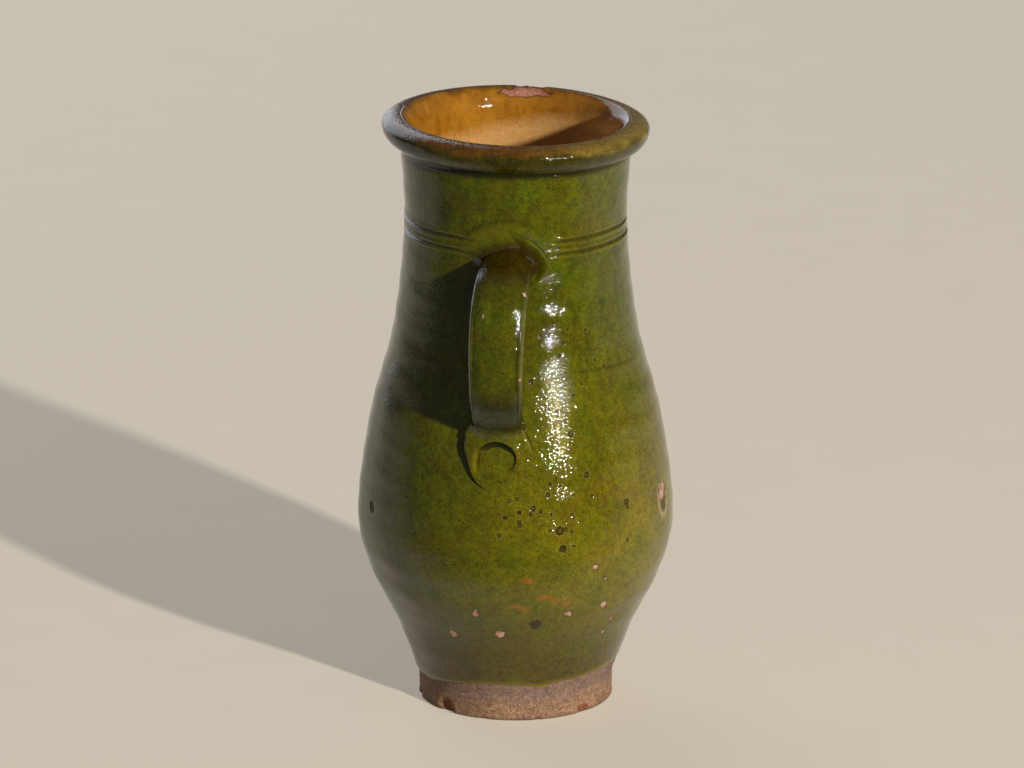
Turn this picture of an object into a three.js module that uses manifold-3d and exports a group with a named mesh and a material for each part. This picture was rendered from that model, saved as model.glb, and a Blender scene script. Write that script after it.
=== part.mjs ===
// Glazed earthenware jug: a wheel-thrown, pear-shaped body with a rolled rim, a pulled strap handle
// luted to the neck and pressed onto the belly, a honey glaze inside and a green glaze outside.
// Millimetres, +Z up. The origin is the middle of the flat foot, and the handle points along -Y.
import * as THREE from "three";
import { mergeVertices } from "three/addons/utils/BufferGeometryUtils.js";
import Module from "manifold-3d";

const wasm = await Module();
wasm.setup();

// Height of the whole jug, from the foot to the crest of the clay lip
const JUG_HEIGHT = 298.2;

// Outside of the thrown clay: the radius at each turn of its outline, and the rise from the turn below.
// The neck is set down from the rim, so the slope from throat to neck takes what the height leaves.
const FOOT_RADIUS = 48.5;
const FOOT_BEVEL = 0.9;
const FOOT_TOP_RADIUS = 48.9;
const FOOT_RISE = 13;
const CONE_RADIUS = 58.6;
const CONE_RISE = 27;
const TURN_RADIUS = 72.2;
const TURN_RISE = 28;
const BELLY_RADIUS = 78.4;
const BELLY_RISE = 29;
const SHOULDER_RADIUS = 72;
const SHOULDER_RISE = 50;
const THROAT_RADIUS = 60.4;
const THROAT_RISE = 45;
const NECK_RADIUS = 54.8;
const LIP_RADIUS = 56.9;
const LIP_RISE = 40.4;

// Thickness of the thrown wall and floor, and the curve where they meet inside
const WALL = 6.2;
const FLOOR = 9;
const FLOOR_CORNER = 10;

// Rolled rim: its height, how far it stands out, where it is fullest, and how deep the mouth rounds in
const RIM_HEIGHT = 12.8;
const RIM_OVERHANG = 9.8;
const RIM_FULLEST = 8.5;
const MOUTH_DEPTH = 15;

// Two lines scored round the neck, measured down from the rim's underside
const GROOVE_DROP = 36.4;
const GROOVE_SPACING = 6.3;
const GROOVE_WIDTH = 2.4;
const GROOVE_DEPTH = 0.8;
const GROOVE_COUNT = 2;

// Glaze: its thickness, the fused layer between it and the clay, and the bare clay above the foot band
const GLAZE = 0.5;
const GLAZE_BED = 0.1;
const GLAZE_CLEAR = 7;

// Strap handle: its root below the rim, its fall to the belly, the pull of its curve, and its section
const HANDLE_DROP = 48.4;
const HANDLE_FALL = 79;
const UPPER_PULL = 53;
const UPPER_LIFT = 3;
const LOWER_PULL = 32;
const LOWER_LIFT = 10;
const ROOT_WIDTH = 27;
const ROOT_THICKNESS = 18;
const STRAP_WIDTH = 26;
const STRAP_THICKNESS = 11;
const STRAP_BURY = 3;

// Clay collar smeared round the handle's root, as half an egg lying on the neck
const COLLAR_WIDTH = 43;
const COLLAR_HEIGHT = 37;
const COLLAR_PROUD = 6.5;
const COLLAR_LIFT = 4;

// Pad at the handle's foot, flattened onto the belly with one press of the thumb
const PAD_WIDTH = 38;
const PAD_HEIGHT = 34;
const PAD_PROUD = 7.5;
const PAD_DROP = 11;
const THUMB_WIDTH = 19;
const THUMB_HEIGHT = 19;
const THUMB_DEPTH = 4;
const THUMB_DROP = 2;

// The mouth dips towards +X, as a soft pot sags: its slope, and where the dip starts below the rim
const MOUTH_TILT_DEGREES = 1.3;
const TILT_REACH = 110;

// Clearance between pieces that are cut to each other
const SEAT_GAP = 0.3;

// Fineness of the facets and of the search along the outline
const OUTLINE_TOLERANCE = 1e-7;
const TURN_STEPS = 40;
const ROW_SPACING = 14;
const INSIDE_ROW_SPACING = 21;
const CURVE_STEPS = 4;
const STRAP_STEPS = 22;
const STRAP_SIDES = 12;
const STRAP_SQUARENESS = 2.3;
const EGG_STEPS = [22, 12];

// Heights that follow from the rises
const coneHeight = FOOT_RISE + CONE_RISE;
const turnHeight = coneHeight + TURN_RISE;
const bellyHeight = turnHeight + BELLY_RISE;
const shoulderHeight = bellyHeight + SHOULDER_RISE;
const throatHeight = shoulderHeight + THROAT_RISE;
const crestHeight = JUG_HEIGHT;
const rimHeight = crestHeight - RIM_HEIGHT;
const neckHeight = rimHeight - LIP_RISE;
const glazeLine = FOOT_RISE + GLAZE_CLEAR;

// Outline of the thrown clay from the foot band to the rim, through its turns
const outline = new THREE.SplineCurve([
  new THREE.Vector2(FOOT_TOP_RADIUS, FOOT_RISE),
  new THREE.Vector2(CONE_RADIUS, coneHeight),
  new THREE.Vector2(TURN_RADIUS, turnHeight),
  new THREE.Vector2(BELLY_RADIUS, bellyHeight),
  new THREE.Vector2(SHOULDER_RADIUS, shoulderHeight),
  new THREE.Vector2(THROAT_RADIUS, throatHeight),
  new THREE.Vector2(NECK_RADIUS, neckHeight),
  new THREE.Vector2(LIP_RADIUS, rimHeight),
]);

// Radius of the clay's outside at a height, without the scored lines
function clayRadius(height) {
  if (height <= FOOT_RISE) {
    return THREE.MathUtils.mapLinear(height, 0, FOOT_RISE, FOOT_RADIUS, FOOT_TOP_RADIUS);
  }
  let low = 0;
  let high = 1;
  while (high - low > OUTLINE_TOLERANCE) {
    const middle = (low + high) / 2;
    if (outline.getPoint(middle).y < height) {
      low = middle;
    } else {
      high = middle;
    }
  }
  return outline.getPoint(high).x;
}

// Evenly spaced heights from one level to another, both included
function levels(from, to, spacing) {
  const count = Math.max(1, Math.round((to - from) / spacing));
  return Array.from({ length: count + 1 }, (_, i) => from + ((to - from) * i) / count);
}

// Outside of the clay that the green glaze covers: plain rows, broken by the scored lines
function glazedOutside() {
  const points = [];
  let from = glazeLine;
  for (let i = GROOVE_COUNT - 1; i >= 0; i -= 1) {
    const middle = rimHeight - GROOVE_DROP - i * GROOVE_SPACING;
    const low = middle - GROOVE_WIDTH / 2;
    levels(from, low, ROW_SPACING).forEach((z) => points.push(new THREE.Vector2(clayRadius(z), z)));
    points.push(new THREE.Vector2(clayRadius(middle) - GROOVE_DEPTH, middle));
    from = middle + GROOVE_WIDTH / 2;
  }
  levels(from, rimHeight, ROW_SPACING).forEach((z) => points.push(new THREE.Vector2(clayRadius(z), z)));
  return points;
}

// Quarter of an ellipse about a centre, from one angle to another
function ellipseArc(centre, acrossHalf, upHalf, startAngle, endAngle) {
  const clockwise = endAngle < startAngle;
  const arc = new THREE.EllipseCurve(
    centre.x, centre.y, acrossHalf, upHalf, startAngle, endAngle, clockwise);
  return arc.getPoints(CURVE_STEPS);
}

// Inside of the clay, from the middle of the floor up to the crest of the mouth
function clayInside() {
  const cornerTop = FLOOR + FLOOR_CORNER;
  const wallBase = clayRadius(cornerTop) - WALL;
  const floorEdge = clayRadius(FLOOR) - WALL;
  const corner = new THREE.QuadraticBezierCurve(
    new THREE.Vector2(floorEdge - FLOOR_CORNER, FLOOR),
    new THREE.Vector2(floorEdge, FLOOR),
    new THREE.Vector2(wallBase, cornerTop),
  );
  const mouthBase = crestHeight - MOUTH_DEPTH;
  const mouthRadius = clayRadius(mouthBase) - WALL;
  const wall = levels(cornerTop, mouthBase, INSIDE_ROW_SPACING).slice(1, -1);
  const mouth = ellipseArc(
    new THREE.Vector2(LIP_RADIUS, mouthBase),
    LIP_RADIUS - mouthRadius, MOUTH_DEPTH, Math.PI, Math.PI / 2);
  return [
    new THREE.Vector2(0, FLOOR),
    ...corner.getPoints(CURVE_STEPS),
    ...wall.map((z) => new THREE.Vector2(clayRadius(z) - WALL, z)),
    ...mouth,
  ];
}

// The same line moved sideways, to its right as it runs, by the same distance all along
function offsetLine(points, distance) {
  return points.map((point, i) => {
    const before = points[Math.max(i - 1, 0)];
    const after = points[Math.min(i + 1, points.length - 1)];
    const along = after.clone().sub(before).normalize();
    const moved = new THREE.Vector2(point.x + along.y * distance, point.y - along.x * distance);
    moved.x = point.x === 0 ? 0 : moved.x;
    return moved;
  });
}

// A turned solid from its profile of radius and height, standing on +Z
function turned(profile) {
  const geometry = new THREE.LatheGeometry(profile, TURN_STEPS);
  return geometry.rotateX(Math.PI / 2);
}

// A solid for cutting and joining, from a closed geometry
function solidOf(geometry) {
  const bare = new THREE.BufferGeometry();
  bare.setAttribute("position", geometry.getAttribute("position"));
  bare.setIndex(geometry.getIndex());
  const merged = mergeVertices(bare, 1e-4);
  return new wasm.Manifold(new wasm.Mesh({
    numProp: 3,
    vertProperties: new Float32Array(merged.getAttribute("position").array),
    triVerts: new Uint32Array(merged.getIndex().array),
  }));
}

// A geometry from a cut solid
function geometryOf(solid) {
  const mesh = solid.getMesh();
  const geometry = new THREE.BufferGeometry();
  geometry.setAttribute("position", new THREE.BufferAttribute(new Float32Array(mesh.vertProperties), 3));
  geometry.setIndex(new THREE.BufferAttribute(new Uint32Array(mesh.triVerts), 1));
  return geometry;
}

// Thrown body: flat foot, wall, scored neck and the inner half of the lip, turned in one piece
const outsideLine = glazedOutside();
const insideLine = clayInside();

function thrownBody() {
  const foot = [
    new THREE.Vector2(0, 0),
    new THREE.Vector2(FOOT_RADIUS - FOOT_BEVEL, 0),
    new THREE.Vector2(clayRadius(FOOT_BEVEL), FOOT_BEVEL),
    new THREE.Vector2(FOOT_TOP_RADIUS, FOOT_RISE),
  ];
  return turned([...foot, ...outsideLine, ...insideLine.slice().reverse()]);
}

// Green glaze coat on the body's outside, from the bare foot up to the rim
function greenCoat() {
  const skin = offsetLine(outsideLine, GLAZE_BED + GLAZE);
  const bed = offsetLine(outsideLine, GLAZE_BED);
  return turned([...skin, ...bed.reverse(), skin[0].clone()]);
}

// Honey glaze lining, from the floor over the inside up to the crest
function honeyLining() {
  const skin = offsetLine(insideLine, -GLAZE_BED - GLAZE);
  const bed = offsetLine(insideLine, -GLAZE_BED);
  return turned([...bed, ...skin.reverse()]);
}

// Rolled rim: the fold of clay that wraps the outside of the lip, flush with the lining at the crest
function rolledRim() {
  const fullest = new THREE.Vector2(LIP_RADIUS, rimHeight + RIM_FULLEST);
  const top = crestHeight + GLAZE_BED + GLAZE;
  const under = ellipseArc(fullest, RIM_OVERHANG, RIM_FULLEST, -Math.PI / 2, 0);
  const over = ellipseArc(fullest, RIM_OVERHANG, top - fullest.y, 0, Math.PI / 2);
  const seam = [new THREE.Vector2(LIP_RADIUS, crestHeight), under[0].clone()];
  under[0].x = LIP_RADIUS;
  over[over.length - 1].x = LIP_RADIUS;
  seam[1].x = LIP_RADIUS;
  return turned([...under, ...over.slice(1), ...seam]);
}

// Space that the clay wall fills, grown by a clearance, for cutting what is luted onto it
function wallSpace(clearance) {
  const heights = levels(FOOT_RISE, rimHeight, ROW_SPACING);
  const skin = heights.map((z) => new THREE.Vector2(clayRadius(z) + clearance, z));
  const foot = new THREE.Vector2(0, FOOT_RISE);
  const head = new THREE.Vector2(0, rimHeight);
  return solidOf(turned([foot, ...skin, head]));
}

// An egg-shaped solid on the handle's side of the jug
function egg(width, depth, height, radius, level) {
  const geometry = new THREE.SphereGeometry(1, ...EGG_STEPS);
  geometry.rotateX(Math.PI / 2);
  geometry.scale(width / 2, depth, height / 2);
  geometry.translate(0, -radius, level);
  return solidOf(geometry);
}

// Line of the strap's middle, from inside the neck out and down to the belly
const rootHeight = rimHeight - HANDLE_DROP;
const landingHeight = rootHeight - HANDLE_FALL;
const rootRadius = clayRadius(rootHeight) - STRAP_BURY;
const landingRadius = clayRadius(landingHeight) - STRAP_BURY;
const strapLine = new THREE.CubicBezierCurve3(
  new THREE.Vector3(0, -rootRadius, rootHeight),
  new THREE.Vector3(0, -rootRadius - UPPER_PULL, rootHeight + UPPER_LIFT),
  new THREE.Vector3(0, -landingRadius - LOWER_PULL, landingHeight + LOWER_LIFT),
  new THREE.Vector3(0, -landingRadius, landingHeight),
);

// Strap: a flattened oval swept along that line, thick at the root and thinner below, grown by a clearance
function strapSpace(clearance) {
  const positions = [];
  const indices = [];
  const across = new THREE.Vector3(1, 0, 0);
  for (let i = 0; i <= STRAP_STEPS; i += 1) {
    const share = i / STRAP_STEPS;
    const thinning = Math.min(1, share * 2);
    const halfWidth = THREE.MathUtils.lerp(ROOT_WIDTH, STRAP_WIDTH, thinning) / 2 + clearance;
    const halfThick = THREE.MathUtils.lerp(ROOT_THICKNESS, STRAP_THICKNESS, thinning) / 2 + clearance;
    const centre = strapLine.getPoint(share);
    const outward = strapLine.getTangent(share).cross(across);
    for (let k = 0; k < STRAP_SIDES; k += 1) {
      const angle = (2 * Math.PI * k) / STRAP_SIDES;
      const round = (value) => Math.sign(value) * Math.abs(value) ** (2 / STRAP_SQUARENESS);
      const point = centre.clone()
        .addScaledVector(across, halfWidth * round(Math.cos(angle)))
        .addScaledVector(outward, halfThick * round(Math.sin(angle)));
      positions.push(point.x, point.y, point.z);
    }
  }
  const ring = (i, k) => i * STRAP_SIDES + (k % STRAP_SIDES);
  for (let i = 0; i < STRAP_STEPS; i += 1) {
    for (let k = 0; k < STRAP_SIDES; k += 1) {
      indices.push(ring(i, k), ring(i, k + 1), ring(i + 1, k + 1));
      indices.push(ring(i, k), ring(i + 1, k + 1), ring(i + 1, k));
    }
  }
  for (let k = 1; k < STRAP_SIDES - 1; k += 1) {
    indices.push(ring(0, 0), ring(0, k + 1), ring(0, k));
    indices.push(ring(STRAP_STEPS, 0), ring(STRAP_STEPS, k), ring(STRAP_STEPS, k + 1));
  }
  const geometry = new THREE.BufferGeometry();
  geometry.setAttribute("position", new THREE.Float32BufferAttribute(positions, 3));
  geometry.setIndex(indices);
  return solidOf(geometry);
}

// Collar and pad before they are cut, each grown by a clearance
const collarHeight = rootHeight + COLLAR_LIFT;
const padHeight = landingHeight - PAD_DROP;

function collarSpace(clearance) {
  const grown = 2 * clearance;
  return egg(COLLAR_WIDTH + grown, COLLAR_PROUD + clearance, COLLAR_HEIGHT + grown,
    clayRadius(collarHeight), collarHeight);
}

function padSpace(clearance) {
  const grown = 2 * clearance;
  return egg(PAD_WIDTH + grown, PAD_PROUD + clearance, PAD_HEIGHT + grown,
    clayRadius(padHeight), padHeight);
}

// Dish that the thumb leaves in the pad
function thumbSpace() {
  const level = padHeight - THUMB_DROP;
  return egg(THUMB_WIDTH, THUMB_DEPTH, THUMB_HEIGHT, clayRadius(level) + PAD_PROUD, level);
}

// The mouth's dip, which moves every point of the upper jug by the same rule
function dip(geometry) {
  const position = geometry.getAttribute("position");
  const slope = Math.tan(THREE.MathUtils.degToRad(MOUTH_TILT_DEGREES));
  for (let i = 0; i < position.count; i += 1) {
    const height = position.getZ(i);
    const share = THREE.MathUtils.smoothstep(height, rimHeight - TILT_REACH, rimHeight);
    position.setZ(i, height - slope * share * position.getX(i));
  }
  geometry.computeVertexNormals();
  return geometry;
}

// Scene graph: one named mesh for each piece, with its own finish
const jug = new THREE.Group();

function addPiece(name, geometry, color, roughness) {
  const material = new THREE.MeshStandardMaterial({ color, roughness, metalness: 0 });
  const mesh = new THREE.Mesh(dip(geometry), material);
  mesh.name = name;
  jug.add(mesh);
}

const seat = wallSpace(SEAT_GAP);
const strap = strapSpace(0).subtract(seat).subtract(padSpace(SEAT_GAP));
const collar = collarSpace(0).subtract(seat).subtract(strapSpace(SEAT_GAP));
const pad = padSpace(0).subtract(seat).subtract(thumbSpace());
const coat = solidOf(greenCoat())
  .subtract(collarSpace(SEAT_GAP))
  .subtract(strapSpace(SEAT_GAP))
  .subtract(padSpace(SEAT_GAP));

addPiece("thrown_body", thrownBody(), 0xb08a6e, 0.85);
addPiece("rolled_rim", rolledRim(), 0x5e4c22, 0.25);
addPiece("honey_lining", honeyLining(), 0xb07a35, 0.2);
addPiece("green_coat", geometryOf(coat), 0x5c5f2a, 0.18);
addPiece("strap_handle", geometryOf(strap), 0x565a28, 0.2);
addPiece("handle_collar", geometryOf(collar), 0x565a28, 0.2);
addPiece("thumbed_pad", geometryOf(pad), 0x565a28, 0.2);

export default jug;
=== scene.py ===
import math
import bmesh
import bpy
import numpy as np
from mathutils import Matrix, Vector, noise
from mathutils.bvhtree import BVHTree


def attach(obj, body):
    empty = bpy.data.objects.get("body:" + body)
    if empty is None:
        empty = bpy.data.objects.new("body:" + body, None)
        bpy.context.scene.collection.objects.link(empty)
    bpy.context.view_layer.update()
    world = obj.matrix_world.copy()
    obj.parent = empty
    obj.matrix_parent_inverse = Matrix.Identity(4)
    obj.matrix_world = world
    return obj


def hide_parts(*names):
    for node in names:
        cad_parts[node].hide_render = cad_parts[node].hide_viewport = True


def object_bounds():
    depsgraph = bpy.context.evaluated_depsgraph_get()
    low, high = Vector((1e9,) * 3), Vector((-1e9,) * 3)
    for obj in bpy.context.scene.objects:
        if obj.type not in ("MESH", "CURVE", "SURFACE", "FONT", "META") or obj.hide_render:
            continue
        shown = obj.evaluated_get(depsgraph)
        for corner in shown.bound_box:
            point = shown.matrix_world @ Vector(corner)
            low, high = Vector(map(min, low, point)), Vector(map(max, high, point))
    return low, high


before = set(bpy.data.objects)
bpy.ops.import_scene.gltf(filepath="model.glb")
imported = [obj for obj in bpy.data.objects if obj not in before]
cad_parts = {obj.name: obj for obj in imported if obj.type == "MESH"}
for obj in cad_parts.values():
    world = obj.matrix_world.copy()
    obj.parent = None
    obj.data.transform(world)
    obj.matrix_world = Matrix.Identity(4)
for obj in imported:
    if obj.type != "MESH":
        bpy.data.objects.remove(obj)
cad_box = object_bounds()


# Thrown body: one wall of buff-red earthenware, pulled up on the wheel from a single lump of clay.
# It was cut off the wheel with a wire, dried and fired, and its foot band was left bare of glaze.
MM = 0.001
CREST_HEIGHT = 298.2
RIM_HEIGHT = 12.8
RIM_BASE = CREST_HEIGHT - RIM_HEIGHT
FOOT_RADIUS = 48.5
FOOT_EDGE = 0.9
FOOT_HOLLOW = 0.35
LIP_RADIUS = 56.9
WALL_TURNS = [
    (48.9, 13.0), (58.6, 40.0), (72.2, 68.0), (78.4, 97.0),
    (72.0, 147.0), (60.4, 192.0), (54.8, 245.0), (LIP_RADIUS, RIM_BASE),
]
WALL = 6.2
FLOOR = 9.0
FLOOR_CORNER = 10.0
MOUTH_DEPTH = 15.0
MOUTH_SLOPE = math.tan(math.radians(1.3))
TILT_REACH = 110.0
TURN_STEPS = 288
FOOT_ROW = 0.9
HIDDEN_ROW = 9.0
BARE_CLAY_TOP = 30.0
UNDER_GLAZE = 1.0


def wall_outline(steps=60):
    """Smooth outline of the wall's outside through its turns, as radius and height."""
    turns = np.array([WALL_TURNS[0], *WALL_TURNS, WALL_TURNS[-1]])
    share = np.linspace(0, 1, steps, endpoint=False)[:, None]
    spans = []
    for before, start, end, after in zip(turns, turns[1:], turns[2:], turns[3:]):
        leave = (end - before) / 2
        arrive = (after - start) / 2
        square = 3 * (end - start) - 2 * leave - arrive
        cube = 2 * (start - end) + leave + arrive
        spans.append(start + leave * share + square * share**2 + cube * share**3)
    return np.concatenate([*spans, turns[-1:]])


OUTLINE = wall_outline()


def wall_radius(height):
    """Radius of the clay's outside at a height, in millimetres."""
    return np.interp(height, [0, *OUTLINE[:, 1]], [FOOT_RADIUS, *OUTLINE[:, 0]])


def rows(start, end, spacing):
    """Evenly spaced heights from one to another."""
    return np.linspace(start, end, max(2, round(abs(end - start) / spacing) + 1))


def wall_inside(spacing):
    """Inside of the clay from the middle of the floor up to the crest, as radius and height."""
    corner_top = FLOOR + FLOOR_CORNER
    edge = wall_radius(FLOOR) - WALL
    bend = np.linspace(0, 1, 12)[1:, None]
    corner = ((1 - bend) ** 2 * (edge - FLOOR_CORNER, FLOOR) + 2 * bend * (1 - bend) * (edge, FLOOR)
              + bend**2 * (wall_radius(corner_top) - WALL, corner_top))
    floor = [(r, FLOOR) for r in np.linspace(0, edge - FLOOR_CORNER, 14)]
    mouth_base = CREST_HEIGHT - MOUTH_DEPTH
    flare = LIP_RADIUS - wall_radius(mouth_base) + WALL
    side = [(wall_radius(z) - WALL, z) for z in rows(corner_top, mouth_base, spacing)[1:-1]]
    mouth = [(LIP_RADIUS + flare * math.cos(a), mouth_base + MOUTH_DEPTH * math.sin(a))
             for a in np.linspace(math.pi, math.pi / 2, 18)]
    return np.array([*floor, *corner, *side, *mouth])


def add(tree, kind, sockets=(), out=0, **settings):
    """Adds a node with its settings, fills its sockets, in turn or by name, with values or links, and gives one
    of its outputs, or all of them for None. A short kind is that of a shader node."""
    made = tree.nodes.new(kind if "Node" in kind else "ShaderNode" + kind)
    for name, value in settings.items():
        setattr(made, name, value)
    for key, value in sockets.items() if isinstance(sockets, dict) else enumerate(sockets):
        if isinstance(value, bpy.types.NodeSocket):
            tree.links.new(value, made.inputs[key])
        else:
            made.inputs[key].default_value = value
    return made.outputs if out is None else made.outputs[out]


def grow(tree, known, steps):
    """Adds a table of nodes to a tree. Each has a name, a kind, or in capitals an operation on numbers, and what
    its sockets take in turn: values, or the names of what is known already."""
    for name, kind, *taken in steps:
        sockets = [known.get(each, each) for each in taken]
        settings = {"operation": kind} if kind.isupper() else {}
        known[name] = add(tree, "Math" if settings else kind, sockets, **settings)


def new_tree(name, sockets):
    """A new geometry tree and the sockets it is given, by name."""
    tree = bpy.data.node_groups.new(name, "GeometryNodeTree")
    for label, kind in sockets.items():
        tree.interface.new_socket(label, in_out="INPUT", socket_type="NodeSocket" + kind)
    tree.interface.new_socket("Piece", in_out="OUTPUT", socket_type="NodeSocketGeometry")
    return tree, dict(add(tree, "NodeGroupInput", out=None).items())


def end_tree(tree, made, steps):
    """Takes a mesh through the last steps of its tree, and out of it."""
    for kind, sockets in steps.items():
        made = add(tree, "GeometryNode" + kind, {"Geometry": made, **sockets})
    add(tree, "NodeGroupOutput", (made,), None)
    return tree


def wheel_tree():
    """Geometry nodes that turn a profile as a wheel does: each profile point holds a radius in X,
    how much of the thrower's ripple it takes in Y, and a height in Z."""
    tree, known = new_tree("turned on the wheel", {
        "Profile": "Geometry", "Turn Steps": "Int", "Ring Spacing": "Float", "Ring Depth": "Float",
        "Wobble": "Float", "Wobble Size": "Float", "Mouth Slope": "Float", "Dip Start": "Float",
        "Dip End": "Float", "Finish": "Material",
    })
    profile = known["Profile"]
    count = add(tree, "GeometryNodeAttributeDomainSize", {"Geometry": profile}, "Point Count")
    columns = add(tree, "FunctionNodeIntegerMath", (known["Turn Steps"], 1), operation="ADD")
    sheet = add(tree, "GeometryNodeMeshGrid", {"Vertices X": count, "Vertices Y": columns}, "Mesh")
    index = add(tree, "GeometryNodeInputIndex")
    row, known["column"] = (add(tree, "FunctionNodeIntegerMath", (index, columns), operation=operation)
                            for operation in ("DIVIDE_FLOOR", "MODULO"))
    place = add(tree, "GeometryNodeInputPosition")
    point = add(tree, "GeometryNodeSampleIndex", {"Geometry": profile, "Value": place, "Index": row},
                data_type="FLOAT_VECTOR")
    known.update(add(tree, "SeparateXYZ", (point,), None).items())
    known["sag"] = add(tree, "MapRange", (known["Z"], known["Dip Start"], known["Dip End"]),
                       interpolation_type="SMOOTHSTEP")
    grow(tree, known, (
        ("share", "DIVIDE", "column", "Turn Steps"), ("angle", "MULTIPLY", "share", math.tau),
        ("sine", "SINE", "angle"), ("cosine", "COSINE", "angle"),
        # The fingers climb one ring spacing in each turn, so the ripple is a spiral
        ("climb", "DIVIDE", "Z", "Ring Spacing"), ("phase", "MULTIPLY_ADD", "climb", math.tau, "angle"),
        ("wave", "SINE", "phase"), ("ripple", "SUBTRACT", "wave", 1.0),
        ("ringed", "MULTIPLY", "ripple", "Ring Depth"),
        ("east", "MULTIPLY", "X", "sine"), ("north", "MULTIPLY", "X", "cosine"),
        ("spot", "CombineXYZ", "east", "north", "Z"), ("fineness", "DIVIDE", 1.0, "Wobble Size"),
        ("uneven", "TexNoise", "spot", 0, "fineness", 2.0), ("sunk", "MULTIPLY", "uneven", "Wobble"),
        ("hand", "SUBTRACT", "ringed", "sunk"), ("radius", "MULTIPLY_ADD", "hand", "Y", "X"),
        ("x", "MULTIPLY", "radius", "sine"),
        ("toward", "MULTIPLY", "radius", "cosine"), ("y", "MULTIPLY", "toward", -1.0),
        # The mouth sags a little towards +X
        ("slope", "MULTIPLY", "sag", "Mouth Slope"), ("drop", "MULTIPLY", "slope", "x"),
        ("z", "SUBTRACT", "Z", "drop"), ("turned", "CombineXYZ", "x", "y", "z"),
    ))
    return end_tree(tree, sheet, {
        "StoreNamedAttribute": {"Name": "height", "Value": known["Z"]}, "SetPosition": {"Position": known["turned"]},
        "MergeByDistance": {"Distance": 1e-6}, "SetShadeSmooth": {}, "RealizeInstances": {},
        "SetMaterial": {"Material": known["Finish"]},
    })


WHEEL = wheel_tree()


def run_tree(piece, tree, values):
    """Runs a geometry tree on a piece with the given inputs, and keeps the result as its plain mesh."""
    modifier = piece.modifiers.new("shape", "NODES")
    modifier.node_group = tree
    for item in tree.interface.items_tree:
        if item.in_out == "INPUT" and item.name in values:
            modifier[item.identifier] = values[item.name]
    bpy.context.view_layer.update()
    solid = piece.evaluated_get(bpy.context.evaluated_depsgraph_get())
    made = bpy.data.meshes.new_from_object(solid)
    piece.modifiers.clear()
    piece.data = made
    made.name = piece.name
    face_outwards(made)
    return piece


def face_outwards(mesh):
    """Turns a closed mesh the right way round, by the sign of its volume."""
    mesh.calc_loop_triangles()
    corners = np.empty(len(mesh.loop_triangles) * 3, int)
    mesh.loop_triangles.foreach_get("vertices", corners)
    a, b, c = points_of(mesh)[corners].reshape(-1, 3, 3).transpose(1, 0, 2)
    if np.einsum("ij,ij->i", a, np.cross(b, c)).sum() < 0:
        mesh.flip_normals()


def points_of(mesh):
    """A mesh's points as an array."""
    flat = np.empty(len(mesh.vertices) * 3)
    mesh.vertices.foreach_get("co", flat)
    return flat.reshape(-1, 3)


def keep_points(mesh, points):
    """Puts an array of points back into a mesh."""
    mesh.vertices.foreach_set("co", np.asarray(points, float).ravel())
    mesh.update()


def mark(mesh, name, values):
    """Stores one number for each point of a mesh under a name."""
    mesh.attributes.new(name, "FLOAT", "POINT").data.foreach_set("value", np.asarray(values, float))


def new_piece(name, points, edges=(), faces=()):
    """A new object of a mesh, at the origin."""
    mesh = bpy.data.meshes.new(name)
    mesh.from_pydata(np.asarray(points).tolist(), list(edges), list(faces))
    piece = bpy.data.objects.new(name, mesh)
    bpy.context.scene.collection.objects.link(piece)
    return piece


def turn(name, profile, finish, ring_spacing, ring_depth, wobble, wobble_size):
    """Turns a profile of radius, ripple and height in millimetres into a finished piece."""
    points = np.asarray(profile, float) * (MM, 1, MM)
    piece = new_piece(name, points, [(i, i + 1) for i in range(len(points) - 1)])
    return run_tree(piece, WHEEL, {
        "Turn Steps": TURN_STEPS, "Ring Spacing": ring_spacing * MM, "Ring Depth": ring_depth * MM,
        "Wobble": wobble * MM, "Wobble Size": wobble_size * MM, "Mouth Slope": MOUTH_SLOPE,
        "Dip Start": (RIM_BASE - TILT_REACH) * MM, "Dip End": RIM_BASE * MM, "Finish": finish,
    })


def linear(hex_colour):
    """A colour written as sRGB hex, turned to linear."""
    parts = [int(hex_colour[i:i + 2], 16) / 255 for i in (1, 3, 5)]
    return (*[c / 12.92 if c <= 0.04045 else ((c + 0.055) / 1.055) ** 2.4 for c in parts], 1.0)


def new_material(name, *marks):
    """An empty material with its tree, its shader, and its Object coordinates and marks by name."""
    material = bpy.data.materials.new(name)
    material.use_nodes = True
    tree = material.node_tree
    where = add(tree, "TexCoord", out="Object")
    known = {"where": where, **dict(add(tree, "SeparateXYZ", (where,), None).items())}
    for each in marks:
        known[each] = add(tree, "Attribute", out="Fac", attribute_name=each)
    return material, tree, tree.nodes["Principled BSDF"], known


def overlaid(tree, known, colour, layers):
    """A colour with shades laid over it in turn. Each shows where something known runs from one value to
    another, up to a share of one."""
    for name, start, end, most, shade in layers:
        share = add(tree, "MapRange", (known[name], start, end, 0, most))
        colour = add(tree, "Mix", {0: share, 6: colour, 7: linear(shade)}, 2, data_type="RGBA")
    return colour


def fired_clay(tree, where, pale, middle, dark):
    """Colour and grain of bare earthenware: soft patches, drawn lines of the turning and coarse grit."""
    known = {"where": where, "drawn": add(tree, "Mapping", {"Vector": where, "Scale": (0.07, 0.07, 1.0)})}
    grow(tree, known, (
        ("patches", "TexNoise", "where", 0, 1 / 0.014, 4.0), ("lines", "TexNoise", "drawn", 0, 1 / 0.0011, 2.0),
        ("grains", "TexNoise", "where", 0, 1 / 0.0007, 3.0, 0.75), ("grain", "ADD", "grains", "lines"),
    ))
    colour = overlaid(tree, known, linear(middle), (
        ("patches", 0.36, 0.64, 1, pale), ("lines", 0.5, 0.75, 0.45, dark),
        ("grains", 0.5, 0.3, 0.75, dark), ("grains", 0.54, 0.72, 0.6, "#cdae8c"),
    ))
    return colour, known["grain"]


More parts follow.
